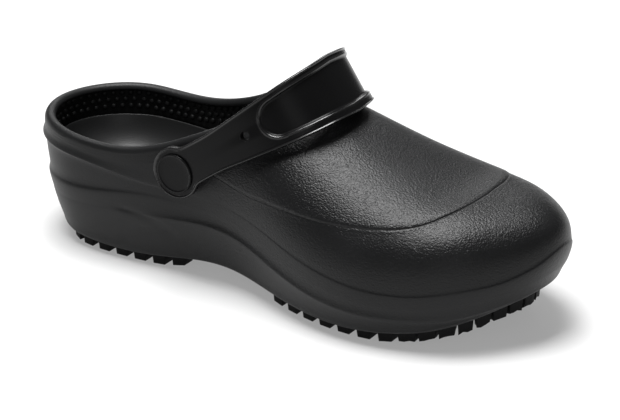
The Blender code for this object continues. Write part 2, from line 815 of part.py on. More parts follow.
PART = bpy.data.collections.new("Clog")
CUTTERS = bpy.data.collections.new("Cutters")
bpy.context.scene.collection.children.link(PART)
bpy.context.scene.collection.children.link(CUTTERS)

foam = plain_material("Moulded foam", (0.022, 0.022, 0.023), 0.55)
rubber = plain_material("Outsole rubber", (0.012, 0.012, 0.012), 0.65)
bed = plain_material("Footbed foam", (0.020, 0.020, 0.021), 0.45)
band = plain_material("Strap", (0.012, 0.012, 0.013), 0.35)
button = plain_material("Rivet", (0.014, 0.014, 0.015), 0.30)

upper = finish(grid_form(shell_rows())[0], "upper", foam)
outsole = finish(outsole_form(), "outsole", rubber)
insole = finish(grid_form(footbed_rows())[0], "insole", bed)
strap = finish(grid_form(strap_rows()[::-1], round_and_round=False)[0], "strap", band)

for side_name, side, pinhole in zip(("lateral", "medial"), (-1, 1), pinhole_places()):
    place = (RIVET_ALONG * LENGTH, STRAP_SIDES[side], RIVET_HEIGHT_MM)
    hole = pin_cutter("Rivet hole " + side_name, HOLE_RADIUS_MM, place, RIVET_STEPS)
    cut(upper, hole)
    cut(strap, hole)
    cut(strap, pin_cutter("Pinhole " + side_name, PINHOLE_RADIUS_MM, pinhole, PINHOLE_STEPS))
    rivet("rivet_" + side_name, side, button)

centre_on_origin()
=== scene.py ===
"""Chef clog, right shoe: how it looks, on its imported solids.

All is in metres, as in the solids: +X to the toe, +Y to the inner side of the foot, +Z up, floor at Z = 0.
"""

import math

import bmesh
import bpy
import numpy as np
from mathutils import Matrix, Vector
from mathutils.noise import noise as noise_at
from mathutils.bvhtree import BVHTree
from mathutils.kdtree import KDTree


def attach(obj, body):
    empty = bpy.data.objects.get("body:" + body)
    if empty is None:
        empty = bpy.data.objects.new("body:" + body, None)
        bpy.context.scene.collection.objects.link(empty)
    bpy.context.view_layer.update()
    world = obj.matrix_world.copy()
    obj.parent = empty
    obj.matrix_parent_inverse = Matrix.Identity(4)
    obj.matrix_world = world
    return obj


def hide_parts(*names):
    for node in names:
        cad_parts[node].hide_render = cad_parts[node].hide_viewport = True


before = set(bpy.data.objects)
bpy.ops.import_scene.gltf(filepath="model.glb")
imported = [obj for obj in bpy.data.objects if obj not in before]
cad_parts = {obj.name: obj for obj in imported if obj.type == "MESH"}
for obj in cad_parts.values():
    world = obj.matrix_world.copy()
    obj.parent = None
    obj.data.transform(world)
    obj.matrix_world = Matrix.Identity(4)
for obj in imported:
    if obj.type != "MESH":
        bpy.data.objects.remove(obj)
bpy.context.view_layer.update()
MM = 0.001


# The stage: a pale floor, the camera at the photograph's angle, and a soft box overhead with two weak
# fill lights, as for a shoe in a catalogue.
def area_light(name, place, aim, size, power):
    """A soft box that faces a place."""
    lamp = bpy.data.lights.new(name, "AREA")
    lamp.shape = "RECTANGLE"
    lamp.size, lamp.size_y = size
    lamp.energy = power
    light = bpy.data.objects.new(name, lamp)
    light.location = place
    light.rotation_euler = (Vector(aim) - Vector(place)).to_track_quat("-Z", "Y").to_euler()
    bpy.context.scene.collection.objects.link(light)


bpy.ops.mesh.primitive_plane_add(size=12)
floor = bpy.context.object
floor.name = "floor"
paper = bpy.data.materials.new("Pale floor")
paper.use_nodes = True
for socket, value in (
    ("Base Color", (0.46, 0.46, 0.46, 1)),
    ("Roughness", 0.9),
    ("Specular IOR Level", 0.1),
    ("Emission Color", (1, 1, 1, 1)),
    ("Emission Strength", 0.30),
):
    paper.node_tree.nodes["Principled BSDF"].inputs[socket].default_value = value
floor.data.materials.append(paper)

LIGHT_AIM = (0.0, 0.0, 0.05)
area_light("overhead", (-0.20, 0.03, 1.60), LIGHT_AIM, (0.95, 0.8), 54)
area_light("back", (-0.70, 1.05, 0.62), LIGHT_AIM, (0.9, 0.35), 3)
area_light("front_fill", (1.0, -1.2, 0.45), LIGHT_AIM, (0.8, 0.5), 1.5)

world = bpy.data.worlds.new("Studio")
world.use_nodes = True
world.node_tree.nodes["Background"].inputs["Color"].default_value = (1, 1, 1, 1)
world.node_tree.nodes["Background"].inputs["Strength"].default_value = 0.14
bpy.context.scene.world = world
bpy.context.scene.view_settings.view_transform = "Standard"

CAMERA_AZIMUTH = math.radians(33)
CAMERA_ELEVATION = math.radians(24)
CAMERA_DISTANCE = 1.3
CAMERA_TARGET = Vector((0.0075, 0.0026, 0.040))
lens = bpy.data.cameras.new("Camera")
camera = bpy.data.objects.new("Camera", lens)
back = Vector(
    (
        math.sin(CAMERA_AZIMUTH) * math.cos(CAMERA_ELEVATION),
        -math.cos(CAMERA_AZIMUTH) * math.cos(CAMERA_ELEVATION),
        math.sin(CAMERA_ELEVATION),
    )
)
camera.location = CAMERA_TARGET + back * CAMERA_DISTANCE
camera.rotation_euler = (-back).to_track_quat("-Z", "Y").to_euler()
lens.sensor_width = 36
lens.lens = 2.1 * 1300 * 36 / 620
lens.shift_y = -15 / 620
lens.clip_end = 30
bpy.context.scene.collection.objects.link(camera)
bpy.context.scene.camera = camera


# The upper: shell and midsole moulded in one, in a closed-cell foam with a leather grain on the vamp,
# a finer one on the sides and a smooth rim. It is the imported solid, made round.
CREASE_LINE = (
    (-140, 51), (-117, 51), (-90, 49.5), (-61, 46), (-39, 45), (-11, 43), (11, 40), (34, 35), (62, 30),
    (90, 29), (118, 33.5), (126, 35.2), (133, 38.6), (137, 41.8), (140, 45.5),
)
EDGE_LINE = (
    (-131, 9), (-117, 6.8), (-106, 6), (-56, 6), (-39, 7.6), (-17, 8.6), (6, 7), (20, 6), (76, 6),
    (95, 8.6), (112, 13.2), (129, 20),
)
COLLAR_LINE = (
    (-140, 58.5), (-112, 58.5), (-84, 57.5), (-61, 60.5), (-39, 69), (-17, 80), (0, 86.5), (13, 92),
    (140, 140),
)
RIM_CLEAR = 4 * MM
STEP_ANGLE = 20
STEP_CREASE = 0.6
STEP_REACH = 2.2 * MM
ROUND_REACH = 0.7 * MM
HEEL_END_X = -0.045
HEEL_LOW = 27 * MM
HEEL_SMOOTHINGS = 6
SPINE_HEEL_X = -0.102
SPINE_BALL_X = 0.09
SPINE_BALL_Y = 0.0117
BEAD_HEIGHT = 1.5 * MM
BEAD_PROUD = 0.35 * MM
BEAD_WIDE = 0.7 * MM
VAMP_MIDDLE_Y = 0.010
VAMP_START_X = -0.034
VAMP_OVER_CREASE = 7 * MM
SEAM_WIDE = 0.9 * MM
WING_CREASES = (
    ((-73, 29.3), (-66, 28.8), (-59, 27.7), (-53, 25.3), (-47, 21.2)),
    ((-75, 12.0), (-70, 15.8), (-66, 18.3), (-59, 21.4), (-53, 21.8), (-48, 20.0)),
)
WING_DEEP = 0.55 * MM
WING_WIDE = 1.5 * MM


def line_at(line, x):
    """Height of a line along the shoe, given in millimetres, at places in metres."""
    places, heights = np.array(line, float).T * MM
    return np.interp(x, places, heights)


def smooth_between(low, high, value):
    """0 below low, 1 above high, and a soft step between."""
    share = np.clip((value - low) / (high - low), 0, 1)
    return share * share * (3 - 2 * share)


def from_polyline(line, x, z):
    """Distance in side view from a line of (x, z) places in millimetres."""
    places = np.array(line, float) * MM
    least = np.full(x.shape, 1e9)
    for start, end in zip(places, places[1:]):
        way = end - start
        share = np.clip(((x - start[0]) * way[0] + (z - start[1]) * way[1]) / way.dot(way), 0, 1)
        least = np.minimum(least, np.hypot(x - start[0] - share * way[0], z - start[1] - share * way[1]))
    return least


def merged_copy(node, name):
    """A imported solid's shape as a new object of quads, selected and active."""
    bpy.ops.object.select_all(action="DESELECT")
    piece = bpy.data.objects.new(name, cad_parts[node].data.copy())
    bpy.context.scene.collection.objects.link(piece)
    piece.select_set(True)
    bpy.context.view_layer.objects.active = piece
    bpy.ops.object.mode_set(mode="EDIT")
    bpy.ops.mesh.select_all(action="SELECT")
    bpy.ops.mesh.remove_doubles(threshold=1e-6)
    bpy.ops.mesh.tris_convert_to_quads(
        face_threshold=math.radians(60), shape_threshold=math.radians(100), topology_influence=1.0
    )
    bpy.ops.object.mode_set(mode="OBJECT")
    piece.data.materials.clear()
    return piece


def nearest(points, marks):
    """Distance of each point to the nearest of some marks."""
    tree = KDTree(len(marks))
    for number, mark in enumerate(marks):
        tree.insert(mark, number)
    tree.balance()
    return np.array([tree.find(p)[2] for p in points])


def keep_creases(piece, least, crease, keep):
    """Mark a step's edges for subdivision, where a test keeps the place; return their ends and turns.

    A step is a hollow edge sharper than an angle in degrees, with the sharp edges close beside it.
    """
    form = bmesh.new()
    form.from_mesh(piece.data)
    layer = form.edges.layers.float.new("crease_edge")
    sharp = []
    for edge in form.edges:
        middle = (edge.verts[0].co + edge.verts[1].co) / 2
        if len(edge.link_faces) == 2 and edge.calc_face_angle(0) > math.radians(least) and keep(middle):
            sharp.append((edge, middle))
    hollows = [middle for edge, middle in sharp if edge.calc_face_angle_signed() < 0]
    kept = []
    for (edge, middle), gap in zip(sharp, nearest([middle for _, middle in sharp], hollows)):
        if gap < STEP_REACH:
            edge[layer] = crease * smooth_between(-0.05, 0.0, middle.x)
            kept.append((edge.verts[0].co.copy(), edge.verts[1].co.copy(), edge.calc_face_angle_signed()))
    form.to_mesh(piece.data)
    form.free()
    return kept


def points_and_normals(mesh):
    """The mesh's vertices and their normals as arrays."""
    points = np.empty(len(mesh.vertices) * 3, np.float32)
    mesh.vertices.foreach_get("co", points)
    normals = np.empty(len(mesh.vertices) * 3, np.float32)
    mesh.vertex_normals.foreach_get("vector", normals)
    return points.reshape(-1, 3).astype(float), normals.reshape(-1, 3).astype(float)


def set_points(mesh, points):
    """Move the mesh's vertices."""
    mesh.vertices.foreach_set("co", points.astype(np.float32).ravel())
    mesh.update()


def subdivide(piece, levels):
    """Make a piece round by subdivision, applied, close to the vertices that it had."""
    bpy.context.view_layer.objects.active = piece
    rounder = piece.modifiers.new("Round", "SUBSURF")
    rounder.levels = levels
    rounder.render_levels = levels
    wanted, _ = points_and_normals(piece.data)
    for _ in range(3):
        bpy.context.view_layer.update()
        shown = piece.evaluated_get(bpy.context.evaluated_depsgraph_get()).to_mesh()
        got = np.array([v.co[:] for v in shown.vertices[: len(wanted)]])
        miss = wanted - got
        held, _ = points_and_normals(piece.data)
        set_points(piece.data, wanted + np.clip(held + 0.8 * miss - wanted, -ROUND_REACH, ROUND_REACH))
    bpy.ops.object.modifier_apply(modifier=rounder.name)


def paint(mesh, name, values):
    """Keep a number for each vertex as an attribute that a material reads."""
    layer = mesh.attributes.new(name, "FLOAT", "POINT")
    layer.data.foreach_set("value", values.astype(np.float32))


def below_rim(place):
    """Whether a place is on the outer wall and clear of the round rim."""
    return place.z < line_at(COLLAR_LINE, place.x) - RIM_CLEAR


upper = merged_copy("upper", "foam_upper")
kept = keep_creases(upper, STEP_ANGLE, STEP_CREASE, below_rim)
subdivide(upper, 2)
points, _ = points_and_normals(upper.data)
x, y, z = points.T
at_heel = (x < HEEL_END_X) & (z > HEEL_LOW) & (z < line_at(COLLAR_LINE, x) - 3 * MM)
for number, heel in enumerate(at_heel):
    upper.data.vertices[number].select = bool(heel)
bpy.ops.object.mode_set(mode="EDIT")
bpy.ops.mesh.vertices_smooth(factor=0.5, repeat=HEEL_SMOOTHINGS)
bpy.ops.object.mode_set(mode="OBJECT")
points, normals = points_and_normals(upper.data)
x, y, z = points.T
spine = np.interp(x, [SPINE_HEEL_X, SPINE_BALL_X], [0.0, SPINE_BALL_Y])
outside = smooth_between(0.2, 0.5, normals[:, 1] * np.sign(y - spine))

over_edge = z - line_at(EDGE_LINE, x)
on_wall = smooth_between(0.2, 0.5, np.hypot(normals[:, 0], normals[:, 1]))
bead = np.exp(-(((over_edge - BEAD_HEIGHT) / BEAD_WIDE) ** 2)) * on_wall
from_spine = x - np.clip(x, SPINE_HEEL_X, SPINE_BALL_X)
facing_out = normals[:, 0] * from_spine + normals[:, 1] * (y - spine) > 0
offset = BEAD_PROUD * bead * facing_out
for crease in WING_CREASES:
    offset -= WING_DEEP * outside * np.exp(-((from_polyline(crease, x, z) / WING_WIDE) ** 2))
set_points(upper.data, points + normals * offset[:, None])

over_crease = z - line_at(CREASE_LINE, x)
seam = [
    start.lerp(end, share)
    for start, end, turn in kept
    for share in np.linspace(0, 1, 30)
    if turn < 0 and start.z > line_at(CREASE_LINE, start.x) + VAMP_OVER_CREASE and start.x > VAMP_START_X
]
over_vamp = np.full(len(x), -1.0)
for side in (-1, 1):
    line = np.array(sorted((spot.x, spot.z) for spot in seam if side * (spot.y - VAMP_MIDDLE_Y) >= 0))
    height = np.interp(x, line[:, 0], line[:, 1], left=1.0, right=1.0)
    over_vamp = np.where(side * (y - VAMP_MIDDLE_Y) >= 0, z - height, over_vamp)
on_toe = smooth_between(0.0, 2 * MM, over_crease)
on_vamp = smooth_between(-1 * MM, 1 * MM, over_vamp)
ahead = smooth_between(HEEL_END_X, -0.005, x)
paint(upper.data, "grain", (0.5 + 0.25 * on_toe + 0.25 * on_vamp) * ahead)
paint(upper.data, "seam", nearest(points, seam))
upper.data.shade_smooth()


class Shade:
    """A node socket that takes part in sums, so that a finish reads as an expression."""

    def __init__(self, tree, socket):
        self.tree = tree
        self.socket = socket

    def maths(self, operation, *others):
        return node(self.tree, "ShaderNodeMath", {"operation": operation}, [self, *others])

    def __add__(self, other):
        return self.maths("ADD", other)

    def __radd__(self, other):
        return self.maths("ADD", other)

    def __sub__(self, other):
        return self.maths("SUBTRACT", other)

    def __rsub__(self, other):
        return node(self.tree, "ShaderNodeMath", {"operation": "SUBTRACT"}, [other, self])

    def __mul__(self, other):
        return self.maths("MULTIPLY", other)

    def __rmul__(self, other):
        return self.maths("MULTIPLY", other)

    def step(self, low, high):
        """0 below low, 1 above high, and a soft step between."""
        ramp = {"interpolation_type": "SMOOTHSTEP"}
        return node(self.tree, "ShaderNodeMapRange", ramp, {"Value": self, "From Min": low, "From Max": high})


def node(tree, kind, settings, sockets, output=0):
    """Add a node with its settings, then feed its sockets with values or links."""
    made = tree.nodes.new(kind)
    for name, value in settings.items():
        setattr(made, name, value)
    named = sockets.items() if isinstance(sockets, dict) else enumerate(sockets)
    for name, value in named:
        if isinstance(value, Shade):
            tree.links.new(value.socket, made.inputs[name])
        else:
            made.inputs[name].default_value = value
    return Shade(tree, made.outputs[output])


def new_finish(name, roughness, specular):
    """A material with its tree and its surface node."""
    made = bpy.data.materials.new(name)
    made.use_nodes = True
    tree = made.node_tree
    surface = tree.nodes["Principled BSDF"]
    surface.inputs["Roughness"].default_value = roughness
    surface.inputs["Specular IOR Level"].default_value = specular
    return made, tree, surface


def feed(tree, surface, **sockets):
    """Link shades to the surface's sockets: Base_Color goes to Base Color."""
    for name, value in sockets.items():
        tree.links.new(value.socket, surface.inputs[name.replace("_", " ")])


def bump(tree, height, distance, strength=1.0, below=None):
    """A normal from heights in metres times distance, on top of another normal."""
    sockets = {"Height": height, "Distance": distance, "Strength": strength}
    if below is not None:
        sockets["Normal"] = below
    return node(tree, "ShaderNodeBump", {}, sockets)


def noise(tree, place, scale, detail=2.0, roughness=0.5):
    """Soft noise from 0 to 1 with a number of waves to the metre."""
    sockets = {"Vector": place, "Scale": scale, "Detail": detail, "Roughness": roughness}
    return node(tree, "ShaderNodeTexNoise", {}, sockets)


def shift_by(tree, place, scale, amount):
    """Places moved about by soft noise, so that a pattern wanders."""
    wander = node(
        tree, "ShaderNodeTexNoise", {}, {"Vector": place, "Scale": scale, "Detail": 2.0}, output=1
    )
    centred = node(tree, "ShaderNodeVectorMath", {"operation": "SUBTRACT"}, [wander, (0.5, 0.5, 0.5)])
    small = node(
        tree, "ShaderNodeVectorMath", {"operation": "SCALE"}, {"Vector": centred, "Scale": amount}
    )
    return node(tree, "ShaderNodeVectorMath", {"operation": "ADD"}, [place, small])


def two_tones(tree, share, dark, light):
    """A colour between two, by a share."""
    return node(
        tree, "ShaderNodeMix", {"data_type": "RGBA"}, {0: share, 6: (*dark, 1), 7: (*light, 1)}, output=2
    )


FOAM_DARK = (0.0048, 0.0049, 0.0052)
FOAM_LIGHT = (0.0092, 0.0094, 0.0099)
GRAIN_SIZE = 0.72 * MM
GRAIN_TURN = (0.0, math.radians(35), math.radians(-35))

foam, tree, surface = new_finish("Moulded foam", 0.42, 0.23)
place = node(tree, "ShaderNodeTexCoord", {}, {}, output=3)
grain_mask = node(tree, "ShaderNodeAttribute", {"attribute_name": "grain"}, {}, output=2)
seam_away = node(tree, "ShaderNodeAttribute", {"attribute_name": "seam"}, {}, output=2)
slanted = node(
    tree, "ShaderNodeMapping", {}, {"Vector": place, "Rotation": GRAIN_TURN, "Scale": (0.72, 1.0, 1.0)}
)
wandering = shift_by(tree, slanted, 480, 1.0 * MM)
cells = node(
    tree,
    "ShaderNodeTexVoronoi",
    {"feature": "SMOOTH_F1"},
    {"Vector": wandering, "Scale": 1 / GRAIN_SIZE, "Smoothness": 0.7},
)
wrinkles = noise(tree, wandering, 1080, 3.0, 0.6)
skin = (1.0 - cells) * 0.6 + wrinkles * 0.9
fine = noise(tree, place, 1500, 2.0, 0.6)
uneven = noise(tree, place, 28, 2.0, 0.5)
grained = skin * grain_mask
low_bump = bump(tree, 1.25 * grained + 1.6 * seam_away.step(0.0, SEAM_WIDE), 0.20 * MM)
side_bump = bump(tree, fine * (0.65 + 0.3 * uneven), 0.16 * MM, below=low_bump)
tone = grained.step(0.3, 1.2) * 0.35 + uneven.step(0.3, 0.7) * 0.4 + fine * 0.2
feed(tree, surface, Base_Color=two_tones(tree, tone, FOAM_DARK, FOAM_LIGHT), Normal=side_bump)
feed(tree, surface, Roughness=0.41 + uneven * 0.06 - grain_mask * 0.10)
upper.data.materials.append(foam)
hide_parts("upper")
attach(upper, "root")


# Nubs on the inside of the collar: small domes in three staggered rows under the rim, moulded with the
# shell, that grip the foot.
NUB_WIDE = 3.1 * MM
NUB_TALL = 1.1 * MM
NUB_PITCH = 4.4 * MM
NUB_DEPTHS = (4.6 * MM, 8.2 * MM, 11.8 * MM)
NUB_LAST_X = -0.012
HEEL_CENTRE_X = -0.090
REACH = 80 * MM

shell = BVHTree.FromPolygons(
    [v.co for v in upper.data.vertices], [p.vertices[:] for p in upper.data.polygons]
)


def rim_height(turn_x, way):
    """Height of the rim's top over the inside wall, met from a place on the spine in a level direction."""
    for level in np.arange(0.100, 0.050, -0.0005):
        if shell.ray_cast(Vector((turn_x, 0, level)), way, REACH)[0] is not None:
            return level
    return None


def wall_place(turn_x, way, depth):
    """Place and normal on the inside wall at a depth under the rim."""
    rim = rim_height(turn_x, way)
    return shell.ray_cast(Vector((turn_x, 0, rim - depth)), way, REACH)[:2]


def nub_line(depth, first):
    """Places and normals along one row, a pitch apart, from the inner side by the heel to the outer side."""
    found = []
    for side in (1, -1):
        for where in np.arange(NUB_LAST_X, HEEL_CENTRE_X, -0.0008):
            found.append((side, where, wall_place(where, Vector((0, side, 0)), depth)))
        if side == 1:
            for turn in np.radians(np.arange(90, 271, 1.2)):
                way = Vector((math.cos(turn), math.sin(turn), 0))
                found.append((0, turn, wall_place(HEEL_CENTRE_X, way, depth)))
    inner = [f for f in found if f[0] == 1]
    heel = [f for f in found if f[0] == 0]
    outer = [f for f in found if f[0] == -1][::-1]
    row = [f[2] for f in inner + heel + outer if f[2][0] is not None]
    spots = [row[0]]
    gone = first * NUB_PITCH
    for (before, _), (here, normal) in zip(row, row[1:]):
        gone += (here - before).length
        if gone >= NUB_PITCH:
            gone -= NUB_PITCH
            spots.append((here, normal))
    return spots[1:]


bpy.ops.object.select_all(action="DESELECT")
bpy.ops.mesh.primitive_uv_sphere_add(segments=10, ring_count=8, radius=1)
nub = bpy.context.object
bpy.ops.object.mode_set(mode="EDIT")
bpy.ops.mesh.select_all(action="SELECT")
bpy.ops.mesh.bisect(plane_co=(0, 0, -0.15), plane_no=(0, 0, 1), clear_inner=True, use_fill=True)
bpy.ops.object.mode_set(mode="OBJECT")
nub.data.transform(nub.matrix_world)
shape = nub.data
nubs = []
for number, depth in enumerate(NUB_DEPTHS):
    for spot, normal in nub_line(depth, 0.5 * (number % 2)):
        copy = bpy.data.objects.new("nub", shape.copy())
        bpy.context.scene.collection.objects.link(copy)
        turn = normal.to_track_quat("Z", "Y").to_matrix().to_4x4()
        turn.translation = spot
        copy.data.transform(turn @ Matrix.Diagonal((NUB_WIDE / 2, NUB_WIDE / 2, NUB_TALL, 1)))
        nubs.append(copy)
bpy.data.objects.remove(nub)
bpy.ops.object.select_all(action="DESELECT")
for copy in nubs:
    copy.select_set(True)
bpy.context.view_layer.objects.active = nubs[0]
bpy.ops.object.join()
collar_nubs = bpy.context.object
collar_nubs.name = "collar_nubs"
collar_nubs.data.shade_smooth()
collar_nubs.data.materials.clear()
collar_nubs.data.materials.append(foam)
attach(collar_nubs, "root")


# The footbed: a loose pad of softer foam with a smooth face, moulded as a bowl whose sides climb the
# shell's wall at the heel, and laid in the shell.
BOWL = ((-140, 22), (-60, 21), (-20, 15), (20, 4), (60, 0), (140, 0))
BOWL_FLAT = 0.15
BOWL_PROBE = 3 * MM
BOWL_STEEP = 0.97
BOWL_EDGE = 0.96
BED_HEEL_X = -0.100
BED_BALL_X = 0.088
BED_MIDDLE_Y = 0.006
BED_REACH = 90 * MM
BED_DARK = (0.0052, 0.0053, 0.0055)
BED_LIGHT = (0.0100, 0.0102, 0.0106)
bed = merged_copy("insole", "footbed")
subdivide(bed, 2)
points, _ = points_and_normals(bed.data)
for number, (bx, by, bz) in enumerate(points):
    centre = Vector((min(max(bx, BED_HEEL_X), BED_BALL_X), 0.0 if bx < 0 else BED_MIDDLE_Y, 0))
    way = Vector((bx, by, 0)) - centre
    if way.length < 1 * MM:
        continue
    centre.z = bz + BOWL_PROBE
    reach_here = shell.ray_cast(centre, way.normalized(), BED_REACH)[3]
    if reach_here is None or reach_here < 0.8 * way.length:
        continue
    share = min(max((way.length / (BOWL_EDGE * reach_here) - BOWL_FLAT) / (1 - BOWL_FLAT), 0), 1)
    lift = np.interp(bx, *np.array(BOWL, float).T * MM) * (1 - math.sqrt(1 - BOWL_STEEP * share**2))
    centre.z = bz + lift + BOWL_PROBE
    reach_above = shell.ray_cast(centre, way.normalized(), BED_REACH)[3]
    if reach_above is None:
        reach_above = reach_here
    points[number] = centre + way * min(max(reach_above / reach_here, 0.97), 1.2) - Vector((0, 0, BOWL_PROBE))
set_points(bed.data, points)
bed.data.shade_smooth()
bed_foam, tree, surface = new_finish("Footbed foam", 0.4, 0.5)
place = node(tree, "ShaderNodeTexCoord", {}, {}, output=3)
fine = noise(tree, place, 1300, 2.0, 0.6)
uneven = noise(tree, place, 30, 2.0, 0.5)
feed(tree, surface, Base_Color=two_tones(tree, uneven * 0.6 + fine * 0.3, BED_DARK, BED_LIGHT))
feed(tree, surface, Roughness=0.37 + uneven * 0.06, Normal=bump(tree, fine, 0.05 * MM))
bed.data.materials.append(bed_foam)
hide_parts("insole")
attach(bed, "root")


# The outsole: a black rubber plate with square lugs, moulded in one and bonded into the shell's recess.
# Its edges are soft, and the feet of the forefoot's lugs are a little ragged.
RUBBER_DARK = (0.0030, 0.0030, 0.0031)
RUBBER_LIGHT = (0.0085, 0.0085, 0.0088)
RAGGED_WAVES = 330
RAGGED_DEEP = 1.5 * MM
tread = merged_copy("outsole", "rubber_outsole")
soft_edges = tread.modifiers.new("Soft edges", "BEVEL")
soft_edges.width = 0.4 * MM
soft_edges.segments = 2
soft_edges.limit_method = "ANGLE"
soft_edges.angle_limit = math.radians(40)
bpy.ops.object.modifier_apply(modifier=soft_edges.name)
bpy.ops.object.mode_set(mode="EDIT")
bpy.ops.mesh.select_all(action="SELECT")
bpy.ops.mesh.subdivide(number_cuts=2)
bpy.ops.object.mode_set(mode="OBJECT")
points, normals = points_and_normals(tread.data)
ragged = np.array([noise_at(Vector(p) * RAGGED_WAVES) for p in points.tolist()])
under_edge = line_at(EDGE_LINE, points[:, 0]) - points[:, 2]
lug_feet = smooth_between(3 * MM, 4.5 * MM, under_edge) * smooth_between(0.06, 0.10, points[:, 0])
points[:, 2] = np.maximum(points[:, 2] + RAGGED_DEEP * ragged * lug_feet, 0)
set_points(tread.data, points)
tread.data.shade_smooth()
tread.data.set_sharp_from_angle(angle=math.radians(40))
rubber, tree, surface = new_finish("Outsole rubber", 0.6, 0.1)
place = node(tree, "ShaderNodeTexCoord", {}, {}, output=3)
rough = noise(tree, place, 900, 3.0, 0.65)
uneven = noise(tree, place, 60, 2.0, 0.5)
feed(tree, surface, Base_Color=two_tones(tree, rough * 0.5 + uneven * 0.5, RUBBER_DARK, RUBBER_LIGHT))
feed(tree, surface, Roughness=0.5 + rough * 0.2, Normal=bump(tree, rough, 0.18 * MM))
tread.data.materials.append(rubber)
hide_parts("outsole")
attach(tread, "root")


# The strap: one moulded band of smooth, glossier plastic with a thin bead round its edge and a
# sunk oval panel, hung on the two rivets and swung forward over the instep. Its line is a superellipse
# in a plane through both rivets; its sections are measured from its edge.
RIVET_PLACE = Vector((-39.074, -0.186, 56.5)) * MM
STRAP_SLOPE = math.radians(34.8)
STRAP_REACH = 77.5 * MM
STRAP_HALF = 38.56 * MM
STRAP_POWER = 2.6
STRAP_THICK = 3.2 * MM
STRAP_END = 12.6 * MM
STRAP_WIDTHS = ((0, 18.9), (11, 18.6), (26, 18.2), (45, 22.0), (70, 27.5), (105, 31.5), (120, 31.5))
STRAP_CORNER = 0.45 * MM
PANEL_START = 54 * MM
PANEL_RIM = 4.1 * MM
PANEL_UP = 0.5 * MM
PANEL_DEEP = 1.0 * MM
LOWER_RIM = 0.8 * MM
PINHOLE_ALONG = 45 * MM
PINHOLE_RADIUS = 2.3 * MM
RIVET_HOLE_RADIUS = 3.8 * MM
STRAP_BEAD = 0.55 * MM
STRAP_BEAD_IN = 0.62 * MM
STRAP_BEAD_WIDE = 0.36 * MM
PANEL_BEAD = 0.16 * MM
PANEL_BEAD_OUT = 0.45 * MM
PANEL_BEAD_WIDE = 0.32 * MM
STRAP_DARK = (0.0030, 0.0030, 0.0031)
STRAP_LIGHT = (0.0060, 0.0060, 0.0063)

turn = np.linspace(0, np.pi, 4001)
strap_line = np.column_stack([
    STRAP_REACH * np.sin(turn) ** (2 / STRAP_POWER),
    -STRAP_HALF * np.sign(np.cos(turn)) * np.abs(np.cos(turn)) ** (2 / STRAP_POWER),
])
strap_line = np.vstack([[-STRAP_END, -STRAP_HALF], strap_line, [-STRAP_END, STRAP_HALF]])
gone = np.concatenate([[0], np.cumsum(np.linalg.norm(np.diff(strap_line, axis=0), axis=1))])
STRAP_LONG = gone[-1]
FORWARD = np.array([math.cos(STRAP_SLOPE), 0, math.sin(STRAP_SLOPE)])
UPWARD = np.array([-math.sin(STRAP_SLOPE), 0, math.cos(STRAP_SLOPE)])


def from_rivet(way):
    """Distance past the nearer rivet, of places along the strap from its first end."""
    return np.minimum(way, STRAP_LONG - way) - STRAP_END


def half_width(past):
    """Half of the strap's width at a distance past the rivet: a round end that runs into a leg."""
    steps = np.linspace(-6, 6, 25) * MM
    table_past, table_width = np.array(STRAP_WIDTHS, float).T * MM
    leg = np.mean([np.interp(past + step, table_past, table_width / 2) for step in steps], axis=0)
    round_end = np.sqrt(np.maximum(STRAP_END**2 - past**2, 0))
    leg = np.where(past < 0, 0, leg)
    joined = (round_end + leg + np.sqrt((round_end - leg) ** 2 + (1.2 * MM) ** 2)) / 2
    gap = STRAP_END - joined[np.argmin(np.abs(past))]
    return np.where(past < 0, round_end, joined + gap * np.exp(-past / (2 * MM)))


def strap_place(way, width, out):
    """Places on the strap by way along it, width up from its middle line, and distance out of its inside."""
    middle = np.column_stack([np.interp(way, gone, strap_line[:, i]) for i in (0, 1)])
    step = 0.5 * MM
    after = np.column_stack([np.interp(way + step, gone, strap_line[:, i]) for i in (0, 1)])
    before = np.column_stack([np.interp(way - step, gone, strap_line[:, i]) for i in (0, 1)])
    heading = (after - before) / np.linalg.norm(after - before, axis=1, keepdims=True)
    plane = middle + np.column_stack([heading[:, 1], -heading[:, 0]]) * out[:, None]
    places = np.array(RIVET_PLACE) + np.outer(plane[:, 0], FORWARD) + np.outer(width, UPWARD)
    places[:, 1] += plane[:, 1]
    return places


round_end = STRAP_END * (1 - np.cos(np.radians(np.linspace(2, 90, 30))))
leg = np.arange(STRAP_END + 0.6 * MM, STRAP_END + PANEL_START - 1 * MM, 0.7 * MM)
oval = np.arange(STRAP_END + PANEL_START - 0.8 * MM, STRAP_END + PANEL_START + 11 * MM, 0.35 * MM)
front = np.arange(oval[-1] + 0.9 * MM, STRAP_LONG / 2, 0.9 * MM)
ways = np.concatenate([round_end, leg, oval, front])
ways = np.concatenate([ways, STRAP_LONG - ways[::-1]])
halves = half_width(from_rivet(ways))

# Rows round one section, as distances from the edge; the outer face is finer than the inner one.
FROM_EDGE = MM * np.array([
    0, 0.06, 0.18, 0.33, 0.5, 0.68, 0.88, 1.1, 1.4, 2.0, 2.6, 3.0, 3.3, 3.6, 3.9, 4.3, 4.7, 5.1, 5.6,
])
INSIDE = ((0.0, 0.5), (0.15, 0.15), (0.5, 0.0), (4.0, 0.0))
sections = []
for way, half in zip(ways, halves):
    squeeze = min(1.0, half / (6.5 * MM))
    edge_rows = half - FROM_EDGE * squeeze
    centre = edge_rows[-1] * np.linspace(1, -1, 27)[1:-1]
    width = np.concatenate([edge_rows, centre, -edge_rows[::-1]])
    inner = [(-(half - a * MM * squeeze), b * MM) for a, b in INSIDE]
    inner += [(-w, o) for w, o in inner[::-1]]
    sections.append((width, np.array(inner)))

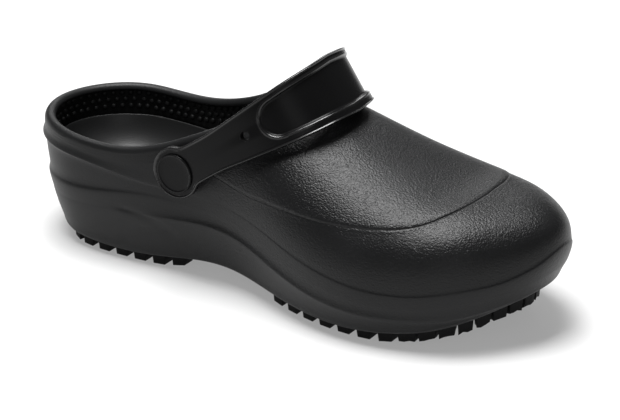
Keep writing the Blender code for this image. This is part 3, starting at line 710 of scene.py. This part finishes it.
width = np.array([w for w, _ in sections])
past = np.repeat(from_rivet(ways)[:, None], width.shape[1], axis=1)
half = np.repeat(halves[:, None], width.shape[1], axis=1)
one_leg = slice(0, len(ways) // 2)
outline = [(a, side * b, 0) for side in (1, -1) for a, b in zip(from_rivet(ways[one_leg]), halves[one_leg])]
flat = [(a, b, 0) for a, b in zip(past.ravel(), width.ravel())]
away = np.minimum(nearest(flat, outline).reshape(width.shape), half - np.abs(width))
panel_turn = PANEL_START + 9 * MM
for _ in range(8):
    panel_turn = PANEL_START + float(half_width(np.array([0.0, panel_turn]))[1]) - PANEL_RIM
panel_radius = panel_turn - PANEL_START
in_end = panel_radius - np.hypot(past - panel_turn, width - PANEL_UP)
in_front = half - PANEL_RIM - np.abs(width - PANEL_UP)
in_panel = np.where(past < panel_turn, in_end, in_front)
rounding = STRAP_CORNER - np.sqrt(np.maximum(STRAP_CORNER**2 - np.maximum(STRAP_CORNER - away, 0) ** 2, 0))
bead = STRAP_BEAD * np.exp(-(((away - STRAP_BEAD_IN) / STRAP_BEAD_WIDE) ** 2))
panel_bead = PANEL_BEAD * np.exp(-(((in_panel + PANEL_BEAD_OUT) / PANEL_BEAD_WIDE) ** 2)) * (past > 40 * MM)
lower = LOWER_RIM * np.clip(past / (60 * MM), 0, 1) * smooth_between(-0.3, 0.3, -width / half)
sunk = smooth_between(-0.2 * MM, 1.0 * MM, in_panel)
out = STRAP_THICK - rounding + bead + panel_bead + lower * (1 - sunk) - PANEL_DEEP * sunk

widths = np.hstack([width, np.array([i[:, 0] for _, i in sections])])
outs = np.hstack([out, np.array([i[:, 1] for _, i in sections])])
across, rows = len(ways), widths.shape[1]
bpy.ops.object.select_all(action="DESELECT")
bpy.ops.mesh.primitive_grid_add(x_subdivisions=rows, y_subdivisions=across - 1, size=2)
band = bpy.context.object
band.name = "heel_strap"
grid, _ = points_and_normals(band.data)
row = np.rint((grid[:, 0] + 1) / 2 * rows).astype(int) % rows
station = np.rint((grid[:, 1] + 1) / 2 * (across - 1)).astype(int)
set_points(band.data, strap_place(ways[station], widths[station, row], outs[station, row]))
on_bead, rows_on = np.where((bead > 0.6 * STRAP_BEAD) | (panel_bead > 0.1 * MM))
bead_marks = strap_place(ways[on_bead], width[on_bead, rows_on], out[on_bead, rows_on]).tolist()
bpy.ops.object.mode_set(mode="EDIT")
bpy.ops.mesh.select_all(action="SELECT")
bpy.ops.mesh.remove_doubles(threshold=2e-6)
bpy.ops.mesh.select_all(action="DESELECT")
bpy.ops.mesh.select_non_manifold()
bpy.ops.mesh.edge_face_add()
bpy.ops.mesh.select_all(action="SELECT")
bpy.ops.mesh.normals_make_consistent(inside=False)
bpy.ops.object.mode_set(mode="OBJECT")


def drill(piece, place, way, radius):
    """Cut a round hole right through a piece."""
    bpy.ops.object.select_all(action="DESELECT")
    bpy.ops.mesh.primitive_cylinder_add(vertices=48, radius=radius, depth=14 * MM)
    pin = bpy.context.object
    turn = way.to_track_quat("Z", "Y").to_matrix().to_4x4()
    turn.translation = place
    pin.data.transform(turn)
    bpy.context.view_layer.objects.active = piece
    hole = piece.modifiers.new("Hole", "BOOLEAN")
    hole.object = pin
    hole.solver = "EXACT"
    bpy.ops.object.modifier_apply(modifier=hole.name)
    bpy.data.objects.remove(pin)


def through(way):
    """Places on the strap's inner and outer faces, on its middle line."""
    return strap_place(np.array([way] * 2), np.zeros(2), np.array([0, STRAP_THICK]))


for way, radius in ((STRAP_END, RIVET_HOLE_RADIUS), (STRAP_END + PINHOLE_ALONG, PINHOLE_RADIUS)):
    for place_along in (way, STRAP_LONG - way):
        inner_end, outer_end = [Vector(end) for end in through(place_along)]
        drill(band, (inner_end + outer_end) / 2, outer_end - inner_end, radius)
points, _ = points_and_normals(band.data)
hole_away = np.full(len(points), 1.0)
for place_along in (STRAP_END + PINHOLE_ALONG, STRAP_LONG - STRAP_END - PINHOLE_ALONG):
    ends = through(place_along)
    axis = (ends[1] - ends[0]) / np.linalg.norm(ends[1] - ends[0])
    from_end = points - ends[0]
    off_axis = np.linalg.norm(from_end - np.outer(from_end @ axis, axis), axis=1)
    hole_away = np.where(np.abs(from_end @ axis) < 8 * MM, np.minimum(hole_away, off_axis), hole_away)
# Painted shade: the pinholes' walls get the darkest base colour, standing in for the shade deep inside the
# holes, and a rough finish.
paint(band.data, "hole", 1 - smooth_between(0.05 * MM, 0.3 * MM, hole_away - PINHOLE_RADIUS))
bead_away = nearest(points, bead_marks)
paint(band.data, "polish", 1 - smooth_between(0.45 * MM, 0.95 * MM, bead_away))
band.data.shade_smooth()
band.data.set_sharp_from_angle(angle=math.radians(80))
plastic, tree, surface = new_finish("Strap plastic", 0.28, 0.11)
surface.inputs["Coat Roughness"].default_value = 0.2
painted_hole_shade = node(tree, "ShaderNodeAttribute", {"attribute_name": "hole"}, {}, output=2)
beaded = node(tree, "ShaderNodeAttribute", {"attribute_name": "polish"}, {}, output=2)
place = node(tree, "ShaderNodeTexCoord", {}, {}, output=3)
fine = noise(tree, place, 1200, 2.0, 0.6)
uneven = noise(tree, place, 40, 2.0, 0.5)
# In the pinholes the base colour is pulled to the dark tone as painted shade.
tone = (uneven * 0.7 + fine * 0.2) * (1.0 - painted_hole_shade)
feed(tree, surface, Base_Color=two_tones(tree, tone, STRAP_DARK, STRAP_LIGHT))
feed(tree, surface, Roughness=0.22 + uneven * 0.08 + painted_hole_shade * 0.6, Normal=bump(tree, fine, 0.03 * MM))
feed(tree, surface, Coat_Weight=beaded * 0.8)
band.data.materials.append(plastic)
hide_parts("strap")
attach(band, "root")


# The rivets: turned in the strap's plastic, with a low head that has a thin raised rim, a shank through
# strap and shell, and a flat inner head.
HEAD_RADIUS = 9.7
GRIPS = {"rivet_lateral": (-1, 12.03), "rivet_medial": (1, 11.08)}


def turned(name, profile, steps):
    """A closed solid turned about Z from (radius, height) points in millimetres that end on the axis."""
    bpy.ops.object.select_all(action="DESELECT")
    bpy.ops.mesh.primitive_plane_add(size=1)
    piece = bpy.context.object
    piece.name = name
    bpy.ops.object.mode_set(mode="EDIT")
    bpy.ops.mesh.select_all(action="SELECT")
    bpy.ops.mesh.merge(type="CENTER")
    bpy.ops.transform.translate(value=(profile[0][0] * MM, 0, profile[0][1] * MM))
    for before, here in zip(profile, profile[1:]):
        move = ((here[0] - before[0]) * MM, 0, (here[1] - before[1]) * MM)
        bpy.ops.mesh.extrude_region_move(TRANSFORM_OT_translate={"value": move})
    bpy.ops.mesh.select_all(action="SELECT")
    bpy.ops.mesh.spin(steps=steps, angle=2 * math.pi, center=(0, 0, 0), axis=(0, 0, 1))
    bpy.ops.mesh.select_all(action="SELECT")
    bpy.ops.mesh.remove_doubles(threshold=5e-6)
    bpy.ops.mesh.normals_make_consistent(inside=False)
    bpy.ops.object.mode_set(mode="OBJECT")
    return piece


for name, (side, grip) in GRIPS.items():
    profile = [
        (0.0, 0.75), (HEAD_RADIUS - 4.0, 0.78), (HEAD_RADIUS - 1.35, 0.82), (HEAD_RADIUS - 1.05, 0.88),
        (HEAD_RADIUS - 0.85, 1.05), (HEAD_RADIUS - 0.68, 1.16), (HEAD_RADIUS - 0.42, 1.18),
        (HEAD_RADIUS - 0.18, 1.08), (HEAD_RADIUS - 0.05, 0.9), (HEAD_RADIUS, 0.7), (HEAD_RADIUS, 0.3),
        (3.4, 0.3), (3.4, -grip), (5.5, -grip), (5.5, -grip - 1.0), (4.5, -grip - 1.7), (0.0, -grip - 1.7),
    ]
    pin = turned(name.replace("rivet", "turned_rivet"), profile, 96)
    stand = Matrix.Rotation(-side * math.pi / 2, 4, "X")
    face = RIVET_PLACE.y + side * (STRAP_HALF + STRAP_THICK)
    stand.translation = Vector((RIVET_PLACE.x, face, RIVET_PLACE.z))
    pin.data.transform(pin.matrix_world)
    pin.matrix_world = Matrix.Identity(4)
    pin.data.transform(stand)
    pin.data.shade_smooth()
    pin.data.set_sharp_from_angle(angle=math.radians(50))
    pin.data.materials.append(plastic)
    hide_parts(name)
    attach(pin, "root")
